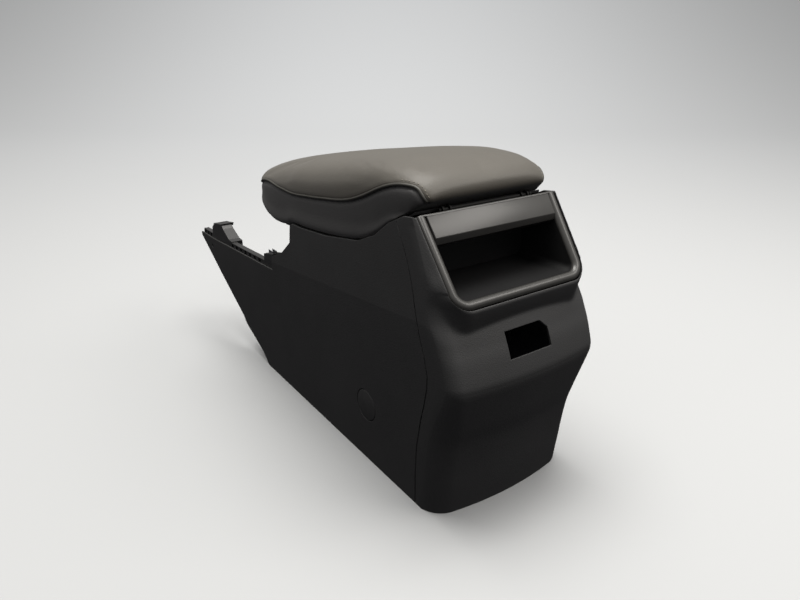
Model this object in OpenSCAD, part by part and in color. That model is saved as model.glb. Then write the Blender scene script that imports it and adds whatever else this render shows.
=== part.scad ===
// Rear floor console of a compact car: two side panels, a rear panel with an
// open tray, a storage bin and a hinged padded armrest.
// +X is the car's right, +Y its front, +Z up. Drawn with y = 0 at the middle of
// the rear bottom edge, then moved so that the origin is under the middle.

/* [Side panels] */
// Half width at the crease, where the sides are widest
crease_half = 103.5; // [98:0.5:108]
// Height of the crease above the floor at y = 0
crease_z = 229; // [215:1:240]
// Fall of the crease towards the front, in degrees
crease_fall = 6.4; // [4:0.1:8]
// Draft of the side below the crease, mm per mm
draft_low = 0.009; // [0:0.003:0.03]
// Lean of the side above the crease, mm per mm
lean_top = 0.058; // [0.03:0.002:0.08]
// Wall of the side and rear panels
panel_t = 2.5; // [2:0.1:3.5]
// Length of the straight foot, from the rear
foot_y = 431; // [400:1:460]
// Front tip of the panels, from the rear
tip_y = 687; // [660:1:720]
// Height of the tip's upper corner
tip_z = 156; // [145:1:165]
// Upright front edge under the armrest, from the rear
post_y = 325; // [315:1:332]
// Width of the flange turned in along the panels' top edges
flange_w = 8; // [5:0.5:12]
// Diameter of the round cover over each side screw
cap_d = 40; // [30:1:50]
// Place of the round covers, from the rear
cap_y = 140; // [125:1:160]
// Height of the round covers
cap_z = 77; // [65:1:90]
// Diameter of the hole for each side screw
side_hole_d = 7; // [5:0.5:9]

/* [Rear panel] */
// How far the rear panel bulges behind its bottom edge
belly = 27.5; // [22:0.5:32]
// Height of the bulge
belly_z = 168; // [160:1:176]
// Bow of the rear panel across its width
rear_bow = 7; // [3:0.5:10]
// Radius of the upright rear corners at the floor
corner_r = 24; // [16:1:28]
// Radius of the rear corners from the bulge up
corner_top_r = 13; // [8:0.5:16]
// Gap of the seam between the rear and side panels
seam_gap = 0.8; // [0.4:0.1:1.5]
// Width of the socket cut-out
socket_w = 58; // [40:1:66]
// Height of the socket cut-out along the slope
socket_h = 29; // [20:1:32]
// Place of the socket cut-out across the panel, from the middle
socket_x = -2; // [-6:0.5:6]
// Corner cut off the socket cut-out
socket_cut = 9; // [4:0.5:12]
// Height of the middle of the socket cut-out
socket_z = 200.5; // [196:0.5:204]

/* [Rear tray] */
// Frame's edge in from the crease, at its top
frame_in = 9.5; // [8:0.5:14]
// Width of the rolled frame beside the opening
frame_w = 11; // [8:0.5:14]
// Depth of the tray from the frame's middle
tray_depth = 52; // [40:1:56]
// Wall of the tray
tray_t = 2.2; // [1.8:0.1:3]
// Height of the flat band along the slope
band_h = 29; // [24:1:32]

/* [Storage bin] */
// Bin's side in from the crease
bin_in = 23.5; // [20:0.5:32]
// Wall of the bin
bin_t = 2.5; // [2:0.1:3.5]
// Height of the bin's underside
bin_floor_z = 96; // [80:1:120]
// Height of the bin's rim
bin_rim_z = 248; // [240:1:250]
// Diameter of the holes in the bin's floor, inside their sleeves
floor_hole_d = 8.5; // [6:0.5:10]
// Distance between the floor holes
floor_hole_gap = 100; // [80:1:120]
// Thickness of the bin's mat
mat_t = 2; // [1.5:0.5:4]

/* [Armrest] */
// Armrest's side in from the crease
arm_in = 3.5; // [1.5:0.5:8]
// Height of the armrest's hump over the line where it meets the body
arm_rise = 78.5; // [66:0.5:90]
// Front of the armrest, from the rear
arm_nose = 452; // [440:1:460]
// Thickness of the armrest's base plate
base_t = 3; // [2:0.5:4]
// Diameter of the hinge pin
pin_d = 5; // [4:0.5:6]
// Width of the latch paddle
latch_w = 46; // [36:1:60]

/* [Front rails] */
// Width of the rails on the panels' top edges
rail_w = 9; // [7:0.5:12]
// Height of the rails above the panels' top edges
rail_h = 7; // [5:0.5:9]
// Spacing of the slots in the rails
slot_pitch = 18; // [14:1:24]
// Length of each slot
slot_len = 8; // [5:0.5:9]

/* [Hidden] */
$fn = 48;

// Clearances
fit_gap = 0.3;      // between pieces that are assembled
run_gap = 0.06;     // radial, round the hinge pin
lid_gap = 1.2;      // between the armrest and the panels' top edges

// Half widths and places shared by several pieces
frame_half = crease_half - frame_in;
bin_half = crease_half - bin_in;
arm_half = crease_half - arm_in;
cross_half = bin_half + 4;
mid_y = (tip_y - belly) / 2;
lid_rear = [58, 334];
hinge = [lid_rear[0] + 5, lid_rear[1] - 9];
bin_y0 = 94;
bin_y1 = post_y - 7;
flat_top = 174;     // height of the panels' top edge just ahead of the notch
notch_y = post_y + 60;
front_len = tip_y - notch_y;
chin_len = tip_y - foot_y;
// Bend and kink in the top edge ahead of the notch, [y, z]
edge_bend = [notch_y + 0.513 * front_len, tip_z + 8];
edge_kink = [notch_y + 0.755 * front_len, tip_z + 3];

// Half width of the body at a place (y, z): drafted below the crease, leaning in above it
function above_crease(y, z) = (z - crease_z) * cos(crease_fall) + y * sin(crease_fall);
function half_w(y, z) = let (d = above_crease(y, z))
    crease_half + (d < 0 ? draft_low * d : -lean_top * d);

// The line where the armrest meets the body, seen from the side: [y, z]
part_line = [[lid_rear[0], lid_rear[1]], [66, 328.5], [76, 322], [97, 312], [122, 293], [156, 278],
             [230, 265], [291, 259], [post_y - 5, 258], [post_y + 9, 252.5], [post_y + 30, 247],
             [post_y + 48, 246], [arm_nose - 55, 249], [arm_nose - 28, 258], [arm_nose - 14, 265.5],
             [arm_nose - 4, 274.5], [arm_nose, 283]];
function part_z(y) = lookup(y, part_line);

// The seam between the rear and side panels: [z, y]
seam_line = [[0, 41], [40, 41], [77, 39], [115, 32], [132, 27.5], [156, 22.5], [170, 22.3],
             [190, 27.5], [205, 34], [232, 43], [262, 53], [282, 62.5], [301, 74], [317, 84], [330, 91]];
function seam_y(z) = lookup(z, seam_line);

// Centre profile of the rear panel: [z, y]
rear_line = [[0, -1], [30, -4], [60, -6.5], [90, -0.38 * belly], [115, -0.62 * belly],
             [140, -0.83 * belly], [belly_z - 12, -0.95 * belly], [belly_z - 5, -0.995 * belly],
             [belly_z + 2, -belly], [belly_z + 11, -0.92 * belly], [196, -17.4], [205, -13],
             [213, -9.4], [222, -5.2], [232, -2.6], [246, 1], [262, 4.2], [290, 25.4], [317, 45.9],
             [326, 52.8]];
function rear_y(z) = lookup(z, rear_line);
// How far the panel's ends lie ahead of its middle at height z
function bow_at(z) = rear_bow * lookup(z, [[0, 1], [222, 1], [234, 1.1], [246, 0.95], [262, 0.3], [290, 0.15]]);
// Radius of the rear corners at height z
function rear_r(z) = lookup(z, [[0, corner_r], [110, 0.9 * corner_r], [belly_z, corner_top_r],
    [213, corner_top_r], [262, corner_top_r + 9], [330, corner_top_r + 9]]);

// Slope of the frame of the rear tray
frame_lo = [-6, 246];
frame_hi = [55, 326.5];
frame_tilt = atan2(frame_hi[1] - frame_lo[1], frame_hi[0] - frame_lo[0]);
frame_len = norm(frame_hi - frame_lo);
frame_taper = 4;
frame_r = 20;       // radius of its lower corners
tray_y1 = frame_lo[0] + frame_len / 2 * cos(frame_tilt) + tray_depth + 8;

module at_origin() translate([0, -mid_y, 0]) children();
module both_sides() { children(); mirror([1, 0, 0]) children(); }
// Draws a [y, z] outline and gives it a width across the car, from x0 to x1
module across(x0, x1) translate([x0, 0, 0]) rotate([90, 0, 90]) linear_extrude(x1 - x0) children();
// A cylinder along X
module rod_x(x0, x1, y, z, d) translate([x0, y, z]) rotate([0, 90, 0]) cylinder(h = x1 - x0, d = d);

// Skins a row of rings that all have the same number of points
module loft(rings) {
    n = len(rings[0]);
    m = len(rings);
    polyhedron(
        points = [for (r = rings) each r],
        faces = concat(
            [[for (i = [0:n - 1]) i]],
            [for (k = [0:m - 2], i = [0:n - 1]) [k * n + i, (k + 1) * n + i, k * n + (i + 1) % n]],
            [for (k = [0:m - 2], i = [0:n - 1])
                [k * n + (i + 1) % n, (k + 1) * n + i, (k + 1) * n + (i + 1) % n]],
            [[for (i = [n - 1:-1:0]) (m - 1) * n + i]]),
        convexity = 8);
}

// Everything inside the creased flanks of the body, less an inset
module flanks(inset) {
    low = 260;
    high = 170;
    half = crease_half - inset;
    translate([0, 0, crease_z]) rotate([-crease_fall, 0, 0]) rotate([90, 0, 0])
        translate([0, 0, -(tip_y + 80)]) linear_extrude(tip_y + 200)
            polygon([[half, 0], [half - lean_top * high, high], [lean_top * high - half, high],
                     [-half, 0], [draft_low * low - half, -low], [half - draft_low * low, -low]]);
}

// Outline of a side panel, [y, z]
module side_outline() {
    polygon(concat(
        [for (p = [for (z = [0, 40, 77, 115, 132, 156, 170, 190, 205, 232, 262, 282, 301, 314]) z])
            [seam_y(p) + seam_gap, p]],
        [for (y = [84, 97, 110, 122, 138, 156, 190, 230, 260, 291, post_y - 6])
            [y, part_z(y) - lid_gap]],
        [[post_y, part_z(post_y) - lid_gap - 2], [post_y + 1, 230], [post_y + 25, 210],
         [notch_y - 1, flat_top + 21], [notch_y, flat_top], edge_bend, edge_kink, [tip_y, tip_z],
         [tip_y - 2, tip_z - 6], [foot_y + 0.691 * chin_len, 103], [foot_y + 0.348 * chin_len, 53],
         [foot_y + 0.3125 * chin_len, 43], [foot_y + 0.07 * chin_len, 16], [foot_y, 0]]));
}

// Band just inside the top edge of a side panel, for its turned-in flange
module top_band() {
    intersection() {
        side_outline();
        polygon([for (y = [post_y, 291, 260, 230, 190, 156, 138, 122, 110, 97, 86])
            [y, part_z(y) + 10],
            for (y = [86, 97, 110, 122, 138, 156, 190, 230, 260, 291, post_y])
            [y, part_z(y) - lid_gap - panel_t - (y == post_y ? 2 : 0)]]);
    }
}

module side_skin() {
    intersection() {
        difference() { flanks(0); flanks(panel_t); }
        across(0, crease_half + 20) side_outline();
    }
    // flange turned in under the armrest
    intersection() {
        difference() { flanks(0); flanks(flange_w); }
        across(0, crease_half + 20) top_band();
    }
    // upright flange at the front edge under the armrest
    intersection() {
        difference() { flanks(0); flanks(flange_w); }
        across(0, crease_half + 20) polygon([[post_y - panel_t, 230], [post_y, 230],
            [post_y, part_z(post_y) - lid_gap - 2], [post_y - panel_t, part_z(post_y) - lid_gap - 2]]);
    }
}

// Screw towers behind the outer skin, [y, z]
tower_spots = [[110, 232], [post_y - 25, 232], [110, 130], [post_y - 25, 130]];
tower_d = 12;
bin_side_gap = fit_gap;

module side_panel() {
    difference() {
        union() {
            side_skin();
            // towers that reach in to the bin's wall
            intersection() {
                flanks(panel_t / 2);
                for (p = tower_spots) rod_x(bin_half + bin_side_gap, crease_half + 5, p[0], p[1], tower_d);
            }
            // towers for the front crossmember
            intersection() {
                flanks(panel_t / 2);
                for (p = cross_spots) rod_x(cross_half + fit_gap, crease_half + 5, p[0], p[1], tower_d);
            }
            // recessed cup for the side screw
            intersection() {
                flanks(panel_t / 2);
                rod_x(crease_half - 16, crease_half + 5, cap_y, cap_z, cap_d + 2 * panel_t);
            }
        }
        rod_x(crease_half - 16 + panel_t, crease_half + 10, cap_y, cap_z, cap_d + 2 * fit_gap);
        rod_x(crease_half - 30, crease_half + 5, cap_y, cap_z, side_hole_d);
        for (p = concat(tower_spots, cross_spots))
            rod_x(bin_half - 5, crease_half - 6, p[0], p[1], 3.4);
        // screw hole near the front tip
        rod_x(crease_half - 20, crease_half + 5, tip_hole[0], tip_hole[1], tip_hole_d);
    }
}

tip_hole = [tip_y - 52, tip_z - 13];
tip_hole_d = 6.5;
cross_y = foot_y + 0.152 * chin_len;
cross_z = 92;
cross_spots = [[cross_y - 14, cross_z], [cross_y + 14, cross_z]];

module side_panel_left() { color("#2b2b2d") at_origin() mirror([1, 0, 0]) side_panel(); }
module side_panel_right() { color("#2b2b2d") at_origin() side_panel(); }

// The rear panel swells out to a collar round the frame, over a recess below it: how far the collar
// lies behind the frame's plane, against the distance out from the frame's edge
collar_line = [[0, 0.3], [3, 0.6], [6, 2.3], [11, 7.2], [16, 12.3], [20, 15.8], [24, 18.6], [40, 32],
               [300, 270]];
function frame_y(z) = frame_lo[0] + (z - frame_lo[1]) / tan(frame_tilt);
function collar_y(x, z) = let (
        v = (z - frame_lo[1]) / sin(frame_tilt),
        low = frame_half - frame_taper,
        dx = max(0, x - low + frame_r),
        h = norm([dx, frame_r - v]),
        out = v < frame_r ? h - frame_r : x - low - frame_taper * v / frame_len,
        sideways = v < frame_r ? dx / h : 1)
    frame_y(z) + lookup(max(0, out) * sin(frame_tilt) * (1 + 3 * pow(sideways, 2)), collar_line);

// Plan outline of the rear panel at height z, inset by t, from the left seam round to the right,
// with its ends drawn on by a length over
corner_steps = 7;
flat_shares = [0, 0.3, 0.6, 0.72, 0.82, 0.91, 1];
function rear_path(z, t, over = 0) = let (
        half = half_w(seam_y(z), z),
        r = rear_r(z),
        flat = half - r,
        bow = bow_at(z),
        y_end = rear_y(z) + bow,
        right = concat(
            [for (share = flat_shares) let (x = flat * share)
                [x, min(rear_y(z) + bow * pow(share, 2), collar_y(x, z)) + t, z]],
            [for (i = [1:corner_steps]) let (a = 90 * i / corner_steps)
                [flat + (r - t) * sin(a),
                 min(y_end + r - (r - t) * cos(a), collar_y(flat + r * sin(a), z) + t), z]],
            [[half - t, max(seam_y(z), y_end + r + 1) + over, z]]),
        n = len(right))
    concat([for (i = [n - 1:-1:1]) [-right[i][0], right[i][1], z]], right);

rear_levels = [0, 30, 60, 77, 90, 115, 132, 140, belly_z - 12, belly_z - 5, belly_z + 2, belly_z + 6,
               belly_z + 11, 190, 196, 205, 213, 218, 222, 226, 230, 235, 240, 243, 246, 250, 254, 258,
               262, 270, 282, 301, 317, 325];

// Places a drawing on the slope of the frame: x across, y up the slope, z out of the face
module on_frame() translate([0, frame_lo[0], frame_lo[1]]) rotate([frame_tilt, 0, 0]) children();

// Outline of the frame on its slope: straight at the top, round at the bottom
module frame_outline(grow, over = 0) {
    top = frame_half + grow + frame_taper * over / frame_len;
    low = frame_half - frame_taper + grow;
    r = frame_r + grow;
    len_up = frame_len + grow + over;
    difference() {
        polygon([[-low, -grow], [low, -grow], [top, len_up], [-top, len_up]]);
        both_corners() translate([low - r, -grow - 1]) difference() {
            square([r + 10, r + 1]);
            translate([0, r + 1]) circle(r);
            translate([-1, r + 1]) square([r + 20, 20]);
        }
    }
}
module both_corners() { children(); mirror([1, 0]) children(); }

module rear_panel() {
    color("#2b2b2d") at_origin() difference() {
        loft([for (z = rear_levels) rear_path(z, 0)]);
        loft([for (z = concat([-2], rear_levels, [327])) rear_path(z, panel_t, 5)]);
        on_frame() translate([0, 0, -30]) linear_extrude(60) frame_outline(fit_gap, 20);
        // shoulders cut down under the armrest
        across(-crease_half - 10, crease_half + 10) polygon(concat([[40, 340], [40, 331], [58, 331]],
            [for (y = [66, 76, 97]) [y, part_z(y) - lid_gap]], [[97, 340]]));
        // socket cut-out, square to the slope, with one corner cut off
        translate([socket_x, rear_y(socket_z), socket_z]) rotate([64, 0, 0]) translate([0, 0, -14])
            linear_extrude(28) polygon([[-socket_w / 2, -socket_h / 2], [socket_w / 2, -socket_h / 2],
                [socket_w / 2, socket_h / 2 - socket_cut], [socket_w / 2 - socket_cut, socket_h / 2],
                [-socket_w / 2, socket_h / 2]]);
    }
}

// Opening in the frame, on its slope
open_low = frame_w + 4;
open_high = frame_len - band_h;
module opening_outline(grow) {
    top = frame_half - frame_w + grow;
    low = top - 5;
    r = 14;
    difference() {
        polygon([[-low, open_low - grow], [low, open_low - grow], [top, open_high + grow],
                 [-top, open_high + grow]]);
        both_corners() translate([low - r, open_low - grow - 1]) difference() {
            square([r + 10, r + 1]);
            translate([0, r + 1]) circle(r);
            translate([-1, r + 1]) square([r + 20, 20]);
        }
    }
}

// Side view of the tray's hollow, [y, z], wider by t
tray_floor = 250;
tray_roof = 302;
module tray_hollow(t) {
    polygon([[3 - t, 258 - 1.5 * t], [13 - t / 2, tray_floor - t], [tray_y1 + t, tray_floor - t],
             [tray_y1 + t, tray_roof + t], [34 - t, tray_roof + t], [10 - 2 * t, 270]]);
}
tray_half = frame_half - frame_w - 1;
frame_step = 2.5;

module rear_tray() {
    color("#1d1d1f") at_origin() difference() {
        union() {
            // face plate, with its edge stepped as the rolled rim is
            on_frame() translate([0, 0, -tray_t - frame_step]) linear_extrude(tray_t) frame_outline(0);
            on_frame() translate([0, 0, -frame_step]) difference() {
                linear_extrude(frame_step) frame_outline(-1.2);
                translate([0, 0, -1]) linear_extrude(5) opening_outline(1.5);
            }
            // rim under the frame that drops into the rear panel
            on_frame() translate([0, 0, -10]) difference() {
                linear_extrude(10 - frame_step) frame_outline(-0.5);
                translate([0, 0, -1]) linear_extrude(12) frame_outline(-0.5 - tray_t);
            }
            // walls of the hollow, kept inside the frame where they meet it
            difference() {
                across(-tray_half - tray_t, tray_half + tray_t) tray_hollow(tray_t);
                on_frame() translate([0, 0, -frame_step]) linear_extrude(60) square([400, 400], center = true);
                on_frame() translate([0, 0, -14]) linear_extrude(20) difference() {
                    square([400, 400], center = true);
                    frame_outline(-0.5);
                }
            }
        }
        intersection() {
            across(-tray_half, tray_half) tray_hollow(0);
            on_frame() translate([0, 0, -100]) linear_extrude(101) square([400, 400], center = true);
        }
        on_frame() translate([0, 0, -6]) linear_extrude(10) opening_outline(0);
        // keep the upper edge clear of the armrest's hinge
        translate([-crease_half, hinge[0] - 5.2, hinge[1] - 12]) cube([2 * crease_half, 20, 30]);
    }
}

// Storage bin under the armrest
module storage_bin() {
    color("#232325") at_origin() difference() {
        union() {
            translate([-bin_half, bin_y0, bin_floor_z])
                cube([2 * bin_half, bin_y1 - bin_y0, bin_rim_z - bin_floor_z]);
            // rim flange
            intersection() {
                translate([-crease_half, bin_y0, bin_rim_z - bin_t])
                    cube([2 * crease_half, bin_y1 - bin_y0, bin_t]);
                flanks(flange_w + 0.5);
            }
            // upstand that carries the hinge bracket
            translate([-bin_half, bin_y0, bin_rim_z - 1]) cube([2 * bin_half, bin_t, upstand_h]);
        }
        translate([-bin_half + bin_t, bin_y0 + bin_t, bin_floor_z + bin_t])
            cube([2 * (bin_half - bin_t), bin_y1 - bin_y0 - 2 * bin_t, 400]);
        // seats of the floor sleeves
        for (s = [-1, 1]) translate([0, bin_mid + s * floor_hole_gap / 2, bin_floor_z - 1])
            cylinder(h = 20, d = sleeve_d + 0.1);
        // screw holes to the side panels and the bracket
        both_sides() for (p = tower_spots) rod_x(bin_half - 10, bin_half + 5, p[0], p[1], 4.4);
        for (x = bracket_xs) translate([x, bin_y0 - 5, bracket_screw_z]) rotate([-90, 0, 0])
            cylinder(h = 15, d = 4.4);
        // seats of the striker
        for (x = striker_xs) translate([x, bin_y1 - 10, striker_z]) rotate([-90, 0, 0])
            cylinder(h = 15, d = 4.4);
    }
}
upstand_h = 36;
bracket_screw_z = bin_rim_z + 20;
striker_xs = [-12, 12];
striker_z = bin_rim_z - 6;
bin_mid = (bin_y0 + bin_y1) / 2;
sleeve_d = floor_hole_d + 3;

module bin_mat() {
    color("#161617") at_origin() difference() {
        translate([-bin_half + bin_t + 1, bin_y0 + bin_t + 1, bin_floor_z + bin_t])
            cube([2 * (bin_half - bin_t - 1), bin_y1 - bin_y0 - 2 * bin_t - 2, mat_t]);
        for (s = [-1, 1]) translate([0, bin_mid + s * floor_hole_gap / 2, bin_floor_z - 1])
            cylinder(h = 20, d = sleeve_d + 8);
    }
}

// Steel sleeves that the floor bolts clamp through
module floor_sleeves() {
    color("silver") at_origin() for (s = [-1, 1])
        translate([0, bin_mid + s * floor_hole_gap / 2, bin_floor_z]) difference() {
            union() {
                cylinder(h = bin_t + 1.2, d = sleeve_d);
                translate([0, 0, bin_t]) cylinder(h = 1.2, d = sleeve_d + 6);
            }
            translate([0, 0, -1]) cylinder(h = 10, d = floor_hole_d);
        }
}

module screw_cap() {
    intersection() {
        flanks(0);
        union() {
            rod_x(crease_half - 7, crease_half + 5, cap_y, cap_z, cap_d);
            rod_x(crease_half - 16 + panel_t, crease_half, cap_y, cap_z, side_hole_d + 13);
        }
    }
}
module screw_cap_shell() {
    difference() {
        screw_cap();
        rod_x(crease_half - 20, crease_half - 6, cap_y, cap_z, side_hole_d + 9);
    }
}
module screw_cap_left() { color("#2b2b2d") at_origin() mirror([1, 0, 0]) screw_cap_shell(); }
module screw_cap_right() { color("#2b2b2d") at_origin() screw_cap_shell(); }

// Channel that ties the side panels together ahead of the armrest
module front_crossmember() {
    channel_h = 30;
    color("#39393b") at_origin() difference() {
        translate([-cross_half, cross_y - 26, cross_z - channel_h / 2])
            cube([2 * cross_half, 52, channel_h]);
        translate([-cross_half + panel_t, cross_y - 26 + panel_t, cross_z - channel_h / 2 + panel_t])
            cube([2 * (cross_half - panel_t), 52 - 2 * panel_t, channel_h]);
        both_sides() for (p = cross_spots) rod_x(cross_half - 10, cross_half + 5, p[0], p[1], 4.4);
        for (x = [-45, 45]) translate([x, cross_y, cross_z - channel_h]) cylinder(h = 40, d = floor_hole_d);
    }
}

// Slotted rail along the top edge of a side panel, which a trim cover clips on to
rail_y0 = notch_y + 3;
rail_y1 = tip_y - 6;
function edge_z(y) = lookup(y, [[notch_y, flat_top], edge_bend, edge_kink, [tip_y, tip_z]]);

module rail_right_solid() {
    block_len = 30;
    clip_y = tip_y - 139;    // rear end of the clip bracket
    slots_back = [for (y = [rail_y0 + block_len + 14 : slot_pitch : clip_y + 4]) y];
    slots_front = [for (y = [clip_y + 92 : slot_pitch * 0.8 : rail_y1 - slot_len]) y];
    intersection() {
        flanks(panel_t + fit_gap);
        difference() {
            union() {
                // the rail itself, below and above the panel's edge
                across(crease_half - panel_t - rail_w, crease_half) polygon(concat(
                    [for (y = [rail_y0, edge_bend[0], edge_kink[0], rail_y1]) [y, edge_z(y) + rail_h]],
                    [for (y = [rail_y1, edge_kink[0], edge_bend[0], rail_y0]) [y, edge_z(y) - 12]]));
                // end block at the notch
                across(crease_half - panel_t - rail_w - 6, crease_half)
                    polygon([[rail_y0, flat_top - 12], [rail_y0 + block_len, flat_top - 12],
                        [rail_y0 + block_len, flat_top + 15], [rail_y0, flat_top + 22]]);
                // clip bracket towards the tip, with its wedge and top plate
                across(crease_half - panel_t - rail_w - 10, crease_half)
                    translate([clip_y, tip_z]) polygon([[0, 4], [89, -6], [89, 20], [80, 27], [42, 32],
                        [37, 28], [12, 17], [0, 16]]);
                across(crease_half - panel_t - rail_w - 16, crease_half - panel_t)
                    translate([clip_y, tip_z]) polygon([[52, 28], [80, 25], [82, 28], [48, 33.5]]);
            }
            for (y = slots_back) slot_cut(y);
            for (y = slots_front) slot_cut(y);
            // hollow of the end block
            translate([crease_half - panel_t - rail_w - 2, rail_y0 + 4, flat_top + 2])
                cube([rail_w - 2, 18, 40]);
            // hole for the tip bolt
            rod_x(crease_half - 40, crease_half + 5, tip_hole[0], tip_hole[1], tip_hole_d);
        }
    }
    // foot that the tip bolt clamps
    intersection() {
        flanks(panel_t + fit_gap);
        difference() {
            rod_x(crease_half - panel_t - rail_w, crease_half, tip_hole[0], tip_hole[1], 16);
            rod_x(crease_half - 40, crease_half + 5, tip_hole[0], tip_hole[1], tip_hole_d);
        }
    }
}
module slot_cut(y) {
    translate([crease_half - panel_t - rail_w + 2, y, edge_z(y) - 1])
        cube([rail_w + 5, slot_len, rail_h - 0.5]);
}
module rail_left() { color("#242426") at_origin() mirror([1, 0, 0]) rail_right_solid(); }
module rail_right() { color("#242426") at_origin() rail_right_solid(); }

// Bright spring clips in the end blocks of the rails
module rail_clips() {
    color("gainsboro") at_origin() both_sides()
        translate([crease_half - panel_t - rail_w - 2 + fit_gap, rail_y0 + 6, flat_top + 2 + fit_gap])
        difference() {
            cube([rail_w - 2 - 2 * fit_gap, 14, 21]);
            translate([0.8, -1, 0.8]) cube([rail_w - 3.6 - 2 * fit_gap, 20, 30]);
        }
}

// Pan-head tapping screw along +X, its head's underside at x = 0
module tap_screw(len_s) {
    rotate([0, 90, 0]) cylinder(h = len_s, d = 3.3);
    translate([-2.2, 0, 0]) rotate([0, 90, 0]) difference() {
        cylinder(h = 2.2, d = 8);
        translate([0, 0, -1]) cylinder(h = 2.2, d = 2.4, $fn = 6);
    }
}
module panel_screws() {
    color("dimgray") at_origin() both_sides() for (p = tower_spots)
        translate([bin_half - bin_t, p[0], p[1]]) tap_screw(11);
}
module cross_screws() {
    color("dimgray") at_origin() both_sides() for (p = cross_spots)
        translate([cross_half - panel_t, p[0], p[1]]) tap_screw(10);
}

// Steel bracket that carries the hinge pin over the tray
arm_x = arm_half - 42;
bracket_half = arm_x - 4;
bracket_xs = [10 - bracket_half, 0, bracket_half - 10];
ear_x = bracket_half - 4;
ear_t = 2;
shelf_z = hinge[1] - 18.5;
bracket_foot = bin_rim_z + 8;
module hinge_bracket() {
    color("#8b8d90") at_origin() difference() {
        union() {
            translate([-bracket_half, bin_y0 - ear_t, bracket_foot])
                cube([2 * bracket_half, ear_t, shelf_z + ear_t - bracket_foot]);
            translate([-bracket_half, hinge[0] + 1, shelf_z])
                cube([2 * bracket_half, bin_y0 - hinge[0] - 1, ear_t]);
            both_sides() across(ear_x - ear_t, ear_x) union() {
                polygon([[hinge[0] - 4.5, hinge[1]], [hinge[0] - 1, shelf_z], [hinge[0] + 16, shelf_z],
                    [hinge[0] + 11, hinge[1] - 13], [hinge[0] + 4.5, hinge[1]]]);
                translate(hinge) circle(d = 9);
            }
        }
        rod_x(-90, 90, hinge[0], hinge[1], pin_d + 0.04);
        for (x = bracket_xs) translate([x, bin_y0 - 10, bracket_screw_z]) rotate([-90, 0, 0])
            cylinder(h = 20, d = 4.4);
    }
}
module bracket_screws() {
    color("dimgray") at_origin() for (x = bracket_xs)
        translate([x, bin_y0 - ear_t, bracket_screw_z]) rotate([0, 0, 90]) tap_screw(8);
}
module hinge_pin() {
    color("silver") at_origin() union() {
        rod_x(-arm_x - 4, arm_x + 4, hinge[0], hinge[1], pin_d);
        rod_x(arm_x + 3, arm_x + 5, hinge[0], hinge[1], pin_d + 3);
    }
}

// Catch for the latch on the bin's front wall
module striker() {
    color("#8b8d90") at_origin() difference() {
        union() {
            translate([-striker_half, bin_y1, striker_z - 14]) cube([2 * striker_half, 2, 20]);
            // lip that the latch hook reaches for
            translate([-striker_half, bin_y1, latch_z - hook_drop + 1.5])
                cube([2 * striker_half, latch_y - 8 - 0.5 - bin_y1, 2]);
        }
        for (x = striker_xs) translate([x, bin_y1 - 10, striker_z]) rotate([-90, 0, 0])
            cylinder(h = 15, d = 3.4);
    }
}
striker_half = 18;
hook_drop = 11;

// Rubber stops on the bin's rim that the armrest closes on to
module bumpers() {
    color("#111111") at_origin() both_sides() for (y = [150, bin_y1 - 16])
        translate([bin_half + 4, y, bin_rim_z])
            cylinder(h = part_z(y) - base_t - bin_rim_z - (y < 200 ? 4 : 1.5), d1 = 10, d2 = 8);
}

// Armrest: half width, top and underside along its length
width_line = [[54, 0.74], [56, 0.785], [60, 0.83], [66, 0.87], [76, 0.912], [90, 0.945], [110, 0.97],
              [130, 0.985], [200, 1], [300, 1], [340, 0.99], [370, 0.985], [arm_nose - 52, 0.97],
              [arm_nose - 28, 0.935], [arm_nose - 14, 0.875], [arm_nose - 4, 0.77], [arm_nose, 0.64]];
// Height of the top over the underside, as a share of the hump's
rise_line = [[54, 0.070], [56, 0.166], [60, 0.266], [66, 0.382], [76, 0.522], [86, 0.619],
             [97, 0.706], [110, 0.839], [122, 0.955], [138, 1.038], [156, 1.115], [190, 1.137],
             [230, 1.146], [260, 1.120], [291, 1.096], [post_y - 10, 1.055], [post_y + 9, 1.083],
             [post_y + 30, 1.104], [post_y + 48, 1.073], [arm_nose - 55, 0.968], [arm_nose - 28, 0.764], [arm_nose - 14, 0.586],
             [arm_nose - 4, 0.363], [arm_nose, 0.166]];
// How round the section is: across, up to the top, and where its widest line lies
across_line = [[54, 0.4], [70, 0.35], [130, 0.35], [200, 0.45], [400, 0.6]];
up_line = [[54, 0.52], [130, 0.52], [200, 0.62], [400, 0.78]];
wide_line = [[54, 0.1], [80, 0.15], [120, 0.35], [200, 0.45], [400, 0.5]];
function lid_half(y) = arm_half * lookup(y, width_line);
function lid_low(y) = lookup(y, concat([[54, 337.5], [56, 335.5]], part_line));
function lid_top(y) = lid_low(y) + arm_rise * lookup(y, rise_line);

lid_stations = [54, 56, 60, 66, 76, 86, 97, 110, 122, 138, 156, 190, 230, 260, 291,
                post_y - 10, post_y + 9, post_y + 30, post_y + 48, arm_nose - 55, arm_nose - 28, arm_nose - 14, arm_nose - 4, arm_nose];
ring_n = 32;
low_round = 0.18;
// One cross-section: full shoulders above, a nearly flat underside below
function lid_ring(y, t) = let (w = lid_half(y) - t, z1 = lid_top(y) - t, z0 = lid_low(y) + t,
        zm = z0 + (z1 - z0) * lookup(y, wide_line))
    [for (i = [ring_n - 1:-1:0]) let (a = 360 * i / ring_n, c = cos(a), s = sin(a), up = s >= 0)
        [w * sign(c) * pow(abs(c), up ? lookup(y, across_line) : low_round), y,
         zm + (up ? z1 - zm : zm - z0) * sign(s) * pow(abs(s), up ? lookup(y, up_line) : low_round)]];

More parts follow.
